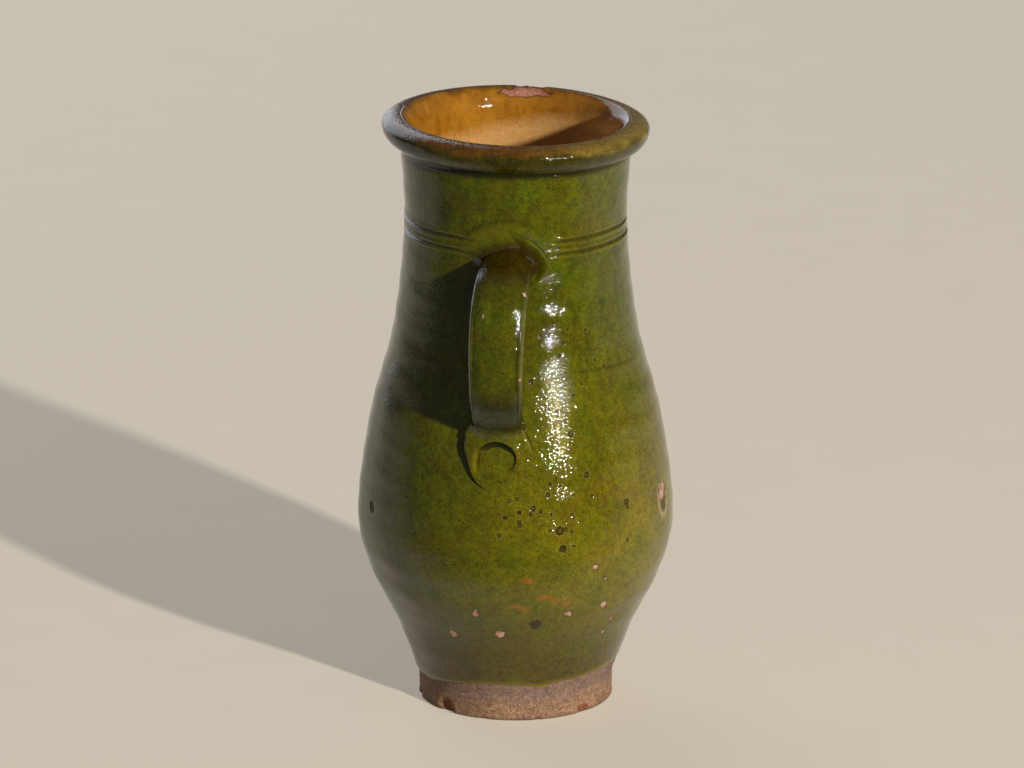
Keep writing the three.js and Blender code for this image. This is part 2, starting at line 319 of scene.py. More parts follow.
def speckled(tree, where, colour, amount):
    """The grain of a fired skin over its colour: small specks and blotches, dark and bright."""
    known = {"where": where}
    grow(tree, known, (
        ("grains", "TexNoise", "where", 0, 1 / 0.0009, 3.0, 0.7),
        ("blots", "TexNoise", "where", 0, 1 / 0.0028, 3.0, 0.6),
        ("both", "MULTIPLY_ADD", "blots", 0.6, "grains"), ("tone", "MapRange", "both", 0.6, 1.0),
    ))
    dark, bright = (0.4, 0.37, 0.3, 1), (1.56, 1.58, 1.7, 1)
    tint = add(tree, "Mix", {0: known["tone"], 6: dark, 7: bright}, 2, data_type="RGBA")
    return add(tree, "Mix", {0: amount, 6: colour, 7: tint}, 2, data_type="RGBA", blend_type="MULTIPLY")


def bare_earthenware():
    """Bare fired earthenware: matt, buff to pinkish grey, with grit, turning lines, brick-red breaks
    where the fired skin is off, and painted shade darkening the very foot."""
    material, tree, shader, known = new_material("bare_fired_earthenware", "brick")
    where = known["where"]
    colour, grain = fired_clay(tree, where, "#a17c5c", "#896850", "#533a29")
    grow(tree, known, (
        ("cloud", "TexNoise", "where", 0, 1 / 0.012, 4.0), ("wandering", "MULTIPLY_ADD", "cloud", 10 * MM, "Z"),
        ("ragged", "TexNoise", "where", 0, 1 / 0.0016, 2.0), ("torn", "MULTIPLY_ADD", "ragged", 0.7, "brick"),
    ))
    soiled = overlaid(tree, known, colour, (
        ("wandering", 12 * MM, 18 * MM, 0.6, "#7d6a60"), ("torn", 0.74, 1.0, 0.85, "#84482f"),
        # The bottom 2.5 mm of the foot is darkened: painted shade where the foot meets the floor.
        ("Z", 2.5 * MM, 0.0, 0.55, "#4c382a"),
    ))
    tree.links.new(speckled(tree, where, soiled, 0.75), shader.inputs["Base Color"])
    shader.inputs["Roughness"].default_value = 0.82
    bump = add(tree, "Bump", {"Height": grain, "Distance": 0.12 * MM, "Strength": 0.8})
    tree.links.new(bump, shader.inputs["Normal"])
    return material


BARE_CLAY = bare_earthenware()


def clay_profile():
    """Closed profile of the thrown clay, from under the foot up the outside, over the lip and down inside."""
    under = [(r, 0, FOOT_HOLLOW * (1 - r / FOOT_RADIUS)) for r in np.linspace(0, FOOT_RADIUS - 2 * FOOT_EDGE, 24)]
    corner = [(FOOT_RADIUS - FOOT_EDGE + FOOT_EDGE * math.sin(a), 0, FOOT_EDGE - FOOT_EDGE * math.cos(a))
              for a in np.linspace(0, math.pi / 2, 6)]
    band = [(wall_radius(z), 1, z) for z in rows(FOOT_EDGE, BARE_CLAY_TOP, FOOT_ROW)[1:]]
    hidden = [(wall_radius(z) - UNDER_GLAZE, 0, z) for z in rows(BARE_CLAY_TOP + 2, RIM_BASE, HIDDEN_ROW)]
    inside = [(r, 0, z) for r, z in wall_inside(HIDDEN_ROW)[::-1]]
    return [*under, *corner, *band, *hidden, *inside]


# Breaks along the foot's lower edge: angle round from the handle, height, half width, half height, depth
FOOT_BREAKS = [(-38.9, 2.6, 4.2, 3.6, 1.5), (51.6, 2.2, 5.0, 2.4, 0.7), (-12.0, 0.8, 2.4, 1.2, 0.5),
               (20.0, 1.0, 1.8, 1.0, 0.4), (-74.0, 1.6, 3.2, 1.8, 0.8), (118.0, 2.4, 4.6, 2.8, 1.1),
               (171.0, 1.4, 3.4, 2.0, 0.8), (-140.0, 2.0, 5.2, 2.6, 1.0)]


def angle_of(points):
    """Angle of each point round the jug, from the handle's side towards +X, in radians."""
    return np.arctan2(points[:, 0], -points[:, 1])


def radius_of(points):
    """Distance of each point from the jug's axis."""
    return np.hypot(points[:, 0], points[:, 1])


def away(points, angle, height, half_width, half_height):
    """How far each point of the wall lies from a mark on it, where 1 is the mark's edge."""
    turned = (angle_of(points) - math.radians(angle) + math.pi) % math.tau - math.pi
    return np.hypot(turned * (radius_of(points) / MM) / half_width, (points[:, 2] / MM - height) / half_height)


def ragged(points, values, size, amount):
    """The same values with an uneven edge, from a noise of the given size."""
    uneven = values.copy()
    for i in np.nonzero(values > 0.05)[0]:
        uneven[i] += amount * noise.noise(Vector(points[i] / (size * MM)))
    return np.clip(uneven, 0, 1)


def break_foot(mesh):
    """Knocks the breaks out of the foot's edge, and marks their brick-red clay."""
    points = points_of(mesh)
    brick = np.zeros(len(points))
    radius = radius_of(points)
    outer = (points[:, 2] < BARE_CLAY_TOP * MM) & (radius > (FOOT_RADIUS - 8) * MM)
    for *place, depth in FOOT_BREAKS:
        share = np.clip(1.35 - away(points, *place), 0, 1) * outer
        share = ragged(points, share, 2.6, 0.45)
        points[:, :2] *= 1 - (np.minimum(share * 2, 1) * depth * MM / np.maximum(radius, MM))[:, None]
        brick = np.maximum(brick, share)
    keep_points(mesh, points)
    mark(mesh, "brick", brick)


thrown_clay = turn("thrown_clay", clay_profile(), BARE_CLAY, 3.4, 0.07, 0.5, 22.0)
break_foot(thrown_clay.data)
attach(thrown_clay, "root")
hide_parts("thrown_body")


# Honey lining: a coat of clear amber lead glaze, poured in and swilled round the inside, then fired.
# It shows the thrower's finger rings, is painted paler lower down inside as painted light, and burns brown at the
# crest.
GLAZE = 0.5
GLAZE_BED = 0.1
GLAZE_IOR = 1.52
SKIN_DEPTH = 0.14
CREST_TOP = CREST_HEIGHT + GLAZE_BED + GLAZE - 0.02
INSIDE_ROW = 2.4
LIP_CLAY = ("#d39a80", "#b8745c", "#7d4a3b")


def lead_glaze(name, run_scale, shades, *marks):
    """A glossy lead glaze: three shades in soft clouds and runs, and the small waves and dimples of a fired
    glass skin, which break up its highlights."""
    material, tree, shader, known = new_material(name, "chip", *marks)
    for label, scale in (("run", run_scale), ("ringed", (0.35, 0.35, 1.0)), ("drawn", (0.68, 0.68, 1.45))):
        known[label] = add(tree, "Mapping", {"Vector": known["where"], "Scale": scale})
    grow(tree, known, (
        ("clouds", "TexNoise", "run", 0, 1 / 0.05, 5.0, 0.6), ("runs", "TexNoise", "run", 0, 1 / 0.007, 5.0, 0.65),
        ("waves", "TexNoise", "ringed", 0, 1 / 0.011, 1.0), ("dimples", "TexNoise", "drawn", 0, 1 / 0.00075, 0.0),
        ("patches", "MapRange", "clouds", 0.4, 0.6, 0.9, 1.4), ("pricked", "MULTIPLY", "dimples", "patches"),
        ("skin", "MULTIPLY_ADD", "waves", 6.0, "pricked"),
    ))
    deep, middle, bright = shades
    colour = overlaid(tree, known, linear(middle), (
        ("clouds", 0.3, 0.7, 1, bright), ("runs", 0.58, 0.32, 0.65, deep)))
    shader.inputs["IOR"].default_value = GLAZE_IOR
    return material, tree, shader, known, colour


def chipped(tree, shader, known, colour, roughness, clay_shades):
    """Where the mark named chip is over one half, the glaze is off and the bare clay shows, redder at its edge."""
    clay, known["grain"] = fired_clay(tree, known["where"], *clay_shades)
    grow(tree, known, (
        ("jagged", "TexNoise", "where", 0, 1 / 0.0009, 3.0), ("centred", "ADD", "jagged", -0.5),
        ("torn", "MULTIPLY_ADD", "centred", 0.2, "chip"), ("bare", "MapRange", "torn", 0.48, 0.53),
        ("crumbs", "TexNoise", "where", 0, 1 / 0.0013, 3.0),
        ("matt", "MapRange", "bare", 0, 1, roughness, 0.8), ("grit", "MULTIPLY", "grain", "bare"),
    ))
    broken = overlaid(tree, known, clay, (
        ("crumbs", 0.48, 0.62, 0.65, "#7b4c3b"), ("torn", 0.72, 0.54, 0.7, "#96584a")))
    # A dark ring on the glaze round each chip: painted shade of the step down into it.
    haloed = overlaid(tree, known, colour, (("torn", 0.34, 0.47, 0.75, "#33260a"),))
    shown = add(tree, "Mix", {0: known["bare"], 6: haloed, 7: broken}, 2, data_type="RGBA")
    skin = add(tree, "Bump", {"Height": known["skin"], "Distance": SKIN_DEPTH * MM, "Strength": 1.0})
    bump = add(tree, "Bump", {"Height": known["grit"], "Distance": 0.1 * MM, "Normal": skin})
    for name, value in (("Base Color", shown), ("Roughness", known["matt"]), ("Normal", bump)):
        tree.links.new(value, shader.inputs[name])


def honey_glaze():
    """Honey lead glaze over clay: amber, dark brown where it thins at the crest, and painted paler and creamier down
    inside as painted light where the lamp falls.
    """
    material, tree, shader, known, colour = lead_glaze(
        "honey_lead_glaze", (1.0, 1.0, 0.4), ("#7f4e0c", "#9e6616", "#b17a25"), "height")
    grow(tree, known, (
        ("edge", "TexNoise", "where", 0, 1 / 0.012, 4.0), ("slanted", "MULTIPLY_ADD", "X", -0.19, "height"),
        ("poured", "MULTIPLY_ADD", "edge", 8 * MM, "slanted"),
        ("wandering", "MULTIPLY_ADD", "edge", 9 * MM, "height"), ("skin", "MULTIPLY", "skin", 0.4),
    ))
    # Paler, creamier below a slanted line inside: painted light where the lamp falls on the inner wall.
    browned = overlaid(tree, known, colour, (
        ("poured", 291 * MM, 284 * MM, 0.85, "#c99b60"), ("wandering", 301 * MM, 304 * MM, 0.7, "#4d2f0c")))
    chipped(tree, shader, known, speckled(tree, known["where"], browned, 0.3), 0.06, LIP_CLAY)
    return material


HONEY_GLAZE = honey_glaze()


def offset_line(line, distance):
    """The same line moved sideways, to its right as it runs, by the same distance all along."""
    along = np.gradient(line, axis=0)
    along /= np.linalg.norm(along, axis=1)[:, None]
    moved = line + distance * np.stack([along[:, 1], -along[:, 0]], axis=1)
    moved[line[:, 0] == 0, 0] = 0
    return moved


def lining_profile():
    """Closed profile of the lining: its skin up the inside, and back down along the clay."""
    skin = offset_line(wall_inside(INSIDE_ROW), -GLAZE_BED - GLAZE)
    bed = offset_line(wall_inside(HIDDEN_ROW), -GLAZE_BED)
    shown = [(r, 1 if FLOOR + FLOOR_CORNER < z < CREST_HEIGHT - 6 else 0, min(z, CREST_TOP)) for r, z in skin]
    return [*shown, *[(r, 0, z) for r, z in bed[::-1]]]


# Break on the far side of the mouth, where a flake of glaze and clay is off the crest: its middle angle,
# height, half width and half height
LIP_BREAK = (180.8, CREST_HEIGHT - 1.5, 11.5, 2.1)


def near(points, *place):
    """One at a mark's middle, one half at its edge and nothing from twice that far."""
    return np.clip(1 - away(points, *place) / 2, 0, 1)


def break_lip(mesh, depth):
    """Knocks the flake out of the crest, pushing the surface back into the clay, and marks it bare."""
    points = points_of(mesh)
    share = ragged(points, near(points, *LIP_BREAK), 3.6, 0.3)
    sunk = np.clip((share - 0.42) / 0.14, 0, 1) * depth * MM
    radius = radius_of(points)
    points[:, :2] *= (1 + sunk * (radius < (LIP_RADIUS - 1) * MM) / np.maximum(radius, MM))[:, None]
    points[:, 2] -= sunk * (points[:, 2] > (CREST_HEIGHT - 3) * MM)
    keep_points(mesh, points)
    mark(mesh, "chip", share)


honey_lining = turn("honey_glaze_lining", lining_profile(), HONEY_GLAZE, 8.5, 0.09, 0.3, 60.0)
break_lip(honey_lining.data, 0.35)
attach(honey_lining, "root")
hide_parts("honey_lining")


# Rolled rim: the thrower folded the lip outwards into a thick roll, which stiffens the mouth.
# Its glaze is green below and worn and burnt to amber brown over the top, where hands and stacking rub it.
RIM_OVERHANG = 9.8
RIM_FULLEST = 8.5
RIM_TUCK = 0.6


def rim_glaze():
    """Green lead glaze that thins to amber brown over the roll, glossy, with rubbed patches, and with painted light
    making the amber paler towards +X.
    """
    material, tree, shader, known, colour = lead_glaze(
        "worn_rim_lead_glaze", (1.0, 1.0, 1.0), ("#1a1802", "#322f03", "#4e4705"), "height")
    grow(tree, known, (
        ("edge", "TexNoise", "where", 0, 1 / 0.016, 5.0, 0.6),
        ("wandering", "MULTIPLY_ADD", "edge", 12 * MM, "height"),
        ("worn", "MapRange", "wandering", 299.5 * MM, 303 * MM), ("side", "MULTIPLY_ADD", "edge", 60 * MM, "X"),
        ("rub", "TexNoise", "where", 0, 1 / 0.0045, 4.0, 0.7), ("rubbed", "MapRange", "rub", 0.6, 0.72, 0, 0.55),
        ("high", "MapRange", "height", 292 * MM, 297 * MM), ("on top", "MULTIPLY", "rubbed", "high"),
    ))
    # The amber turns paler yellow towards +X: painted light on the lamp's side of the roll.
    amber = overlaid(tree, known, linear("#43260a"), (
        ("edge", 0, 1, 1, "#7a5010"), ("side", 40 * MM, 92 * MM, 0.9, "#8f7a34")))
    browned = add(tree, "Mix", {0: known["worn"], 6: colour, 7: amber}, 2, data_type="RGBA")
    scuffed = overlaid(tree, known, browned, (("on top", 0, 1, 1, "#8a6c4c"),))
    chipped(tree, shader, known, speckled(tree, known["where"], scuffed, 0.7), 0.08, LIP_CLAY)
    return material


RIM_GLAZE = rim_glaze()


def rim_profile():
    """Closed profile of the roll: out from the neck, round its fullest turn, over the top and down the seam."""
    fullest = RIM_BASE + RIM_FULLEST
    below = [(LIP_RADIUS + RIM_OVERHANG * math.sin(a), 1, fullest - (RIM_FULLEST + RIM_TUCK) * math.cos(a))
             for a in np.linspace(0, math.pi / 2, 26)]
    above = [(LIP_RADIUS + RIM_OVERHANG * math.cos(a), 1, fullest + (CREST_TOP - fullest) * math.sin(a))
             for a in np.linspace(0, math.pi / 2, 22)[1:]]
    seam = [(LIP_RADIUS, 0, z) for z in rows(CREST_HEIGHT, RIM_BASE - RIM_TUCK + 1, 3.0)]
    below[0] = (LIP_RADIUS, 0, RIM_BASE - RIM_TUCK)
    above[-1] = (LIP_RADIUS, 0, CREST_TOP)
    return [*below, *above, *seam, below[0]]


rim_roll = turn("rim_roll", rim_profile(), RIM_GLAZE, 40.0, 0.05, 0.9, 34.0)
break_lip(rim_roll.data, 0.7)
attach(rim_roll, "root")
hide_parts("rolled_rim")


# Green coat: copper-green lead glaze over the whole outside, dipped or poured with the jug held by its foot.
# It ends in a wavy line above the foot, fills the two lines scored round the neck, and is pitted and chipped.
GROOVES = (249.0, 242.7)
GROOVE_WIDTH = 2.1
GROOVE_DEPTH = 0.75
TURNING_LINE = 183.0
TURNING_DEPTH = 0.1
COAT_ROW = 1.6
GROOVE_ROW = 0.3
COAT_FOOT = 20.0
COAT_BLEND = 70.0
PIT_DEPTH = 0.24
CHIP_DEPTH = 0.42
FLAW_DEPTH = 0.4
TUCK_DEPTH = 0.4
# Pits, each a burst bubble: angle round from the handle, height and radius in millimetres, and how far the
# sunk ring round each spreads
PIT_SPREAD = 1.3
PITS = [
    (42.5, 203.0, 0.8), (32.7, 204.4, 0.7), (29.7, 198.3, 0.9), (27.8, 192.2, 1.0), (46.0, 187.5, 0.8),
    (50.7, 183.5, 0.8), (13.7, 180.6, 1.0), (32.8, 172.8, 0.8), (37.3, 177.4, 0.7), (18.5, 202.3, 0.7),
    (24.4, 166.3, 0.8), (29.5, 154.7, 1.1), (34.8, 133.9, 1.2), (20.2, 131.5, 0.9), (23.7, 129.7, 0.8),
    (19.0, 126.2, 1.0), (10.5, 135.5, 0.7), (7.4, 124.7, 0.8), (4.5, 123.7, 0.9), (13.3, 119.7, 1.1),
    (16.2, 118.0, 0.9), (12.5, 116.7, 0.9), (8.2, 117.8, 1.0), (3.1, 115.3, 1.0), (8.2, 113.4, 0.8),
    (8.5, 111.4, 0.9), (20.2, 116.2, 0.8), (1.0, 106.3, 0.9), (27.8, 115.3, 0.7), (23.1, 107.9, 1.7),
    (25.3, 108.2, 0.9), (27.6, 106.8, 0.8), (19.4, 108.3, 0.8), (24.1, 98.7, 1.6), (28.2, 99.6, 0.9),
    (52.0, 116.3, 1.3), (52.4, 113.6, 0.9), (51.5, 97.2, 0.9), (36.3, 123.3, 0.7), (-58.7, 106.6, 2.4),
    (-14.0, 112.4, 0.6), (-22.0, 96.0, 0.6), (-31.0, 131.0, 0.6),
]
# Chips where the glaze has flaked off the clay: angle, height, half width and half height in millimetres
CHIPS = [
    (37.3, 86.5, 1.6, 1.3), (45.2, 63.7, 1.8, 2.1), (29.2, 61.8, 1.9, 1.6), (-9.2, 62.5, 1.9, 1.8),
    (-22.2, 48.8, 2.2, 2.0), (0.3, 50.5, 2.2, 2.0), (53.6, 51.7, 1.6, 1.6), (42.6, 78.8, 0.8, 0.7),
    (52.0, 44.4, 0.9, 0.7), (76.7, 113.2, 4.3, 4.3), (-36.0, 74.0, 0.9, 0.8),
]
# A long flaw where a stone burst out of the wall: a pale lip of glaze round a bare top and a dark hole below
FLAW = (76.3, 109.6, 6.4, 9.4)
FLAW_HOLE = (76.1, 105.6, 3.0, 4.2)
# Rust stains in the glaze: angle, height, half width and half height in millimetres
STAINS = [(8.0, 67.5, 4.5, 1.2), (11.2, 66.0, 2.8, 1.7), (18.0, 72.6, 4.0, 1.5), (22.5, 70.8, 4.2, 1.5),
          (27.0, 68.2, 4.0, 1.5), (11.4, 82.2, 2.4, 1.8), (132.0, 70.0, 8.0, 2.2), (-128.0, 58.0, 6.0, 2.0)]
# Brown burns in the glaze: angle, height, half width and half height in millimetres
BURNS = [(15.3, 56.8, 2.6, 2.7), (-41.0, 80.5, 0.9, 1.6), (-58.7, 106.6, 2.2, 2.6), (148.0, 118.0, 1.8, 2.0)]
# Where the strap's root is luted on, the root's section, and how high the clay is smeared up beside it
HANDLE_ROOT = 237.0
ROOT_ASIDE = 2.2
ROOT_WIDTH = 27.4
ROOT_THICKNESS = 21.0
SMEAR_HEIGHT = 3.4
HIDDEN_SIDE_PITS = 34
HIDDEN_SIDE_CHIPS = 9


def hidden_side_marks():
    """Pits and chips strewn over the far half of the jug, like those of the near half."""
    strew = np.random.default_rng(11)
    pits = [(strew.uniform(105, 255), strew.normal(125, 38), strew.uniform(0.6, 1.2))
            for _ in range(HIDDEN_SIDE_PITS)]
    chips = [(strew.uniform(105, 255), strew.uniform(40, 105), strew.uniform(0.9, 2.4), strew.uniform(0.8, 2.1))
             for _ in range(HIDDEN_SIDE_CHIPS)]
    return pits, chips


def green_glaze():
    """Copper-green lead glaze: moss green in clouds, yellower on the lower right where it ran thin, browner near the
    foot and darkened there as painted shade, darker where it pooled and where shade is painted in, lighter where
    highlights are painted, with burst bubbles, rust stains and chips under a glossy dimpled skin."""
    material, tree, shader, known, colour = lead_glaze(
        "green_lead_glaze", (1.0, 1.0, 0.6), ("#2c3002", "#4a4f02", "#626403"),
        "fringe_and_highlight", "pool_and_shade", "stain", "wear", "burnt", "pit", "pale")
    where = known["where"]
    known["moved"] = add(tree, "Mapping", {"Vector": where, "Location": (0.4, 0, 0.4)})
    grow(tree, known, (
        ("side", "MapRange", "X", -45 * MM, 70 * MM), ("low", "MapRange", "Z", 205 * MM, 110 * MM, 0, 0.75),
        ("thin", "MULTIPLY", "side", "low"), ("greener", "TexNoise", "where", 0, 1 / 0.016, 4.0, 0.6),
        ("browner", "TexNoise", "moved", 0, 1 / 0.016, 4.0, 0.6), ("blotch", "TexNoise", "where", 0, 1 / 0.004, 4.0),
        ("flecks", "TexNoise", "where", 0, 1 / 0.001, 3.0), ("rust", "MULTIPLY_ADD", "flecks", 1.8, "stain"),
        ("rub", "MULTIPLY", "wear", "blotch"), ("charred", "MULTIPLY_ADD", "blotch", 0.3, "burnt"),
        ("scorch", "MapRange", "charred", 0.42, 0.82, 0, 0.9), ("lip", "MapRange", "pit", 0.2, 0.42, 0, 0.16),
        # Inside each pit a dark ring round a lighter bottom: painted shade of the crater's walls.
        ("lipped", "MAXIMUM", "lip", "pale"), ("hole", "MapRange", "pit", 0.44, 0.56, 0, 0.85),
        ("bottom", "MapRange", "pit", 0.92, 0.66, 0.35, 1.0), ("dark ring", "MULTIPLY", "hole", "bottom"),
        ("mirror", "MapRange", "hole", 0, 0.85, 0.5, 0.04), ("dry", "MapRange", "scorch", 0, 1, 0.05, 0.1),
    ))
    patched = overlaid(tree, known, colour, (
        # Browner and darker towards the foot: a browner glaze there, darkened further as painted shade on the lower
        # part, which faces down.
        ("thin", 0, 1, 1, "#857609"), ("Z", 78 * MM, 30 * MM, 0.8, "#423300"),
        ("greener", 0.46, 0.7, 0.5, "#465a02"), ("browner", 0.46, 0.7, 0.5, "#5a4702"),
    ))
    marked = overlaid(tree, known, speckled(tree, where, patched, 0.72), (
        ("fringe_and_highlight", 0, 1, 1, "#8a7a14"), ("pool_and_shade", 0, 1, 1, "#1a1a02"), ("rust", 1.3, 1.95, 0.85, "#ae5f1c"),
        # This dark brown is the glaze's own burns, and round the handle's root also painted shade.
        ("rub", 0.2, 0.6, 0.75, "#6e5a10"), ("scorch", 0, 1, 1, "#2e1602"), ("lipped", 0, 1, 1, "#a8965a"),
        ("dark ring", 0, 1, 1, "#24180a"),
    ))
    tree.links.new(known["mirror"], shader.inputs["Specular IOR Level"])
    chipped(tree, shader, known, marked, "dry", ("#e2c3a4", "#c89a82", "#86604e"))
    return material


GREEN_GLAZE = green_glaze()


def ease(value):
    """Smooth step from 0 to 1."""
    value = np.clip(value, 0, 1)
    return value * value * (3 - 2 * value)


def bell(value, middle, width):
    """One at the middle, falling off smoothly on both sides."""
    return np.exp(-(((value - middle) / width) ** 2))


def coat_profile():
    """Closed profile of the coat: its skin up the outside, with close rows at the scored lines, and back
    down along the clay."""
    lines = np.concatenate([rows(z - 4, z + 4, GROOVE_ROW) for z in GROOVES])
    plain = np.concatenate([rows(COAT_FOOT + 3, TURNING_LINE - 4, COAT_ROW),
                            rows(TURNING_LINE - 4, TURNING_LINE + 4, 2 * GROOVE_ROW),
                            rows(TURNING_LINE + 4, RIM_BASE - 6, COAT_ROW), rows(RIM_BASE - 6, RIM_BASE, GROOVE_ROW)])
    plain = plain[(plain < lines.min()) | (plain > lines.max())]
    edge = COAT_FOOT + np.array([0, 0.12, 0.35, 0.8, 1.6])
    heights = np.unique(np.round([*edge, *plain, *lines], 2))
    thick = GLAZE * np.sqrt(np.clip((heights - COAT_FOOT) / 1.4, 0, 1))
    ripple = np.where(heights < RIM_BASE - 4, np.clip((heights - COAT_FOOT) / 1.6, 0, 1), 0)
    skin = [(wall_radius(z) + GLAZE_BED + t, share, z) for z, t, share in zip(heights, thick, ripple)]
    bed = [(wall_radius(z) + GLAZE_BED - ease((z - 26) / 12) * (UNDER_GLAZE - 0.1), 0, z)
           for z in rows(RIM_BASE, COAT_FOOT, HIDDEN_ROW)]
    return [*skin, *bed]


def glaze_line(angle):
    """Height of the coat's lower edge round the jug: it slants up to the right, waves and drips."""
    turned = (np.degrees(angle) + 180) % 360 - 180
    slant = 18.6 + 4.2 * np.sin(angle - math.radians(12)) + 2.6 * bell(turned, -15, 24)
    waves = 0.3 * np.sin(5 * angle + 1.0) + 0.16 * np.sin(11 * angle + 2.3) + 0.1 * np.sin(23 * angle)
    drips = 1.6 * bell(turned, 21, 5.5) + 1.4 * bell(turned, -128, 6)
    return slant + waves - drips


def refine(mesh, marks, reach, cuts):
    """Cuts the coat's faces finer round each mark, so that the mark has its own shape."""
    work = bmesh.new()
    work.from_mesh(mesh)
    middles = np.array([face.calc_center_median() for face in work.faces])
    skin = radius_of(middles) / MM > wall_radius(middles[:, 2] / MM) + GLAZE_BED + 0.2
    wanted = np.zeros(len(middles), bool)
    for angle, height, half_width, half_height in marks:
        wanted |= skin & (away(middles, angle, height, half_width + reach, half_height + reach) < 1.0)
    work.faces.ensure_lookup_table()
    edges = {edge for i in np.nonzero(wanted)[0] for edge in work.faces[i].edges}
    bmesh.ops.subdivide_edges(work, edges=list(edges), cuts=cuts, use_grid_fill=True)
    work.to_mesh(mesh)
    work.free()


def root_smear(points):
    """How far the clay smeared up from the strap's root lifts the coat, how far off the root each point is,
    and how much it lies on the upper left, where the smear is full."""
    aside = angle_of(points) * radius_of(points) / MM - ROOT_ASIDE
    above = points[:, 2] / MM - HANDLE_ROOT
    whole = np.maximum(np.hypot(aside, above), 0.1)
    share = np.hypot(aside / (ROOT_WIDTH / 2), above / (ROOT_THICKNESS / 2))
    reach = whole * (1 - 1 / np.maximum(share, 0.2))
    right = ease((aside / whole + 0.5) / 1.4)
    upper = ease((above / whole + 0.15) / 0.6) * (1 - 0.75 * right) * (points[:, 1] < 0)
    return SMEAR_HEIGHT * np.clip(1 - reach / 12.5, 0, 1) ** 2 * upper, reach, upper


def shape_coat(mesh):
    """Runs the coat's lower edge along its wavy line, scores the lines, sinks the pits and chips, and marks them."""
    hidden_pits, hidden_chips = hidden_side_marks()
    pits = [(angle, height, PIT_SPREAD * radius, PIT_SPREAD * radius)
            for angle, height, radius in [*PITS, *hidden_pits]]
    chips = [*CHIPS, *hidden_chips]
    refine(mesh, [*pits, *chips, FLAW], 1.6, 4)
    points = points_of(mesh)
    angle = angle_of(points)
    turned = np.degrees(angle)
    radius = radius_of(points) / MM
    height = points[:, 2] / MM
    proud = radius - wall_radius(height)
    skin = proud > GLAZE_BED + 0.1
    line = glaze_line(angle)
    low = height < COAT_BLEND
    share = (height - COAT_FOOT) / (COAT_BLEND - COAT_FOOT)
    lowered = np.where(low, line + share * (COAT_BLEND - line), height)
    flaw = away(points, *FLAW)
    drip = 0.6 + 0.4 * bell(angle, 0.37, 0.07)
    fringe_and_highlight = np.where(low, drip * np.clip(1 - (lowered - line) / 2.2, 0, 1), 0)
    shares = {"pale": 0.9 * bell(flaw, 0.86, 0.16)}
    for name, places, size, amount in (("pit", pits, 0.9, 0.16), ("chip", chips, 2.4, 0.3),
                                       ("stain", STAINS, 3.0, 0.4), ("burnt", [*BURNS, FLAW_HOLE], 1.6, 0.2)):
        close = np.max([near(points, *place) for place in places], axis=0)
        shares[name] = ragged(points, close, size, amount)
    depth = PIT_DEPTH * ease((shares["pit"] - 0.42) / 0.3)
    depth += CHIP_DEPTH * np.clip((shares["chip"] - 0.47) / 0.08, 0, 1)
    depth = np.minimum(depth + FLAW_DEPTH * ease((0.8 - flaw) / 0.5), GLAZE)
    # The scored lines and their raised lips fade out on both sides of the handle
    level = height + 0.6 * MOUTH_SLOPE * radius * np.sin(angle)
    fade = ease((np.abs(turned - 4.5) - 17) / 11)
    pool_and_shade = np.zeros(len(points))
    for groove in GROOVES:
        apart = level - groove - 0.25 * np.sin(3 * angle + groove)
        cut = bell(apart, 0, GROOVE_WIDTH / 2.4) * fade
        lips = bell(np.abs(apart), GROOVE_WIDTH * 0.72, 0.7) * fade
        depth += GROOVE_DEPTH * cut - 0.2 * lips
        # Yellow along the lips of the scored lines: thin glaze over them and a painted highlight along them.
        fringe_and_highlight = np.maximum(fringe_and_highlight, (0.3 + 0.15 * np.sin(9 * angle + groove)) * lips)
        pool_and_shade = np.maximum(pool_and_shade, (0.62 + 0.18 * np.sin(2 * angle + groove)) * cut)
    # Under the roll the coat is tucked in and painted near-black: painted shade under the rim, over glaze pooled in
    # the tuck.
    tuck = bell(height, RIM_BASE - 2.0, 2.0)
    smear, reach, upper = root_smear(points)
    scratch = bell(height + 2.2 * np.sin(angle - 0.7), TURNING_LINE, 0.8)
    scratch *= np.clip(1.6 * (1 - np.abs(turned - 52) / 28), 0, 1)
    depth += TUCK_DEPTH * tuck - smear + TURNING_DEPTH * scratch
    burnt = np.clip(3 * shares["burnt"] - 0.9, 0, 1)
    # Near the strap's root the coat is browned: glaze burnt thin there, darkened further as painted shade round the
    # root.
    root_burn_and_shade = (0.3 + 0.32 * (1 - ease(reach / 4))) * (smear > 0) * (reach < 4)
    shares["burnt"] = np.maximum(burnt, root_burn_and_shade)
    # A lighter arch on the smear above the root: painted light on the mound's top.
    shares["fringe_and_highlight"] = np.maximum(fringe_and_highlight, 0.2 * bell(reach, 8, 3) * upper)
    # This mark holds glaze pooled in the scored lines and the turning line, and painted shade under the rim and along
    # the foot of the smear.
    shares["pool_and_shade"] = np.max([pool_and_shade, 0.95 * tuck, 0.5 * bell(reach, 12.6, 1.0) * upper, 0.42 * scratch], axis=0)
    settled = np.minimum(wall_radius(lowered) + proud - skin * depth, cad_box[1].x / MM - 0.01)
    points[:, :2] *= (settled / radius)[:, None]
    points[:, 2] = lowered * MM
    keep_points(mesh, points)
    for name, values in shares.items():
        mark(mesh, name, values)


green_coat = turn("green_glaze_coat", coat_profile(), GREEN_GLAZE, 15.0, 0.1, 0.3, 38.0)
shape_coat(green_coat.data)
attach(green_coat, "root")
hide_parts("green_coat")


# Strap handle: a strap pulled from a wet carrot of clay, luted to the neck and bent over to the belly.
# The pulling hand leaves a gently rounded face between two thin ridged edges, which wear through first.
HANDLE_LANDING = 158.0
STRAP_BURY = 3.0
UPPER_PULL = 53.0
UPPER_LIFT = 3.0
LOWER_PULL = 32.0
LOWER_LIFT = 10.0
STRAP_SIZES = {
    "Root Width": ROOT_WIDTH, "Width": 27.4, "Foot Width": 25.0,
    "Root Thickness": ROOT_THICKNESS, "Thickness": 11.0, "Foot Thickness": 11.0, "Ridge": 0.5, "Drag": 0.9,
}
STRAP_LEAN = (2.8, 1.8, 0.9, 0.4)


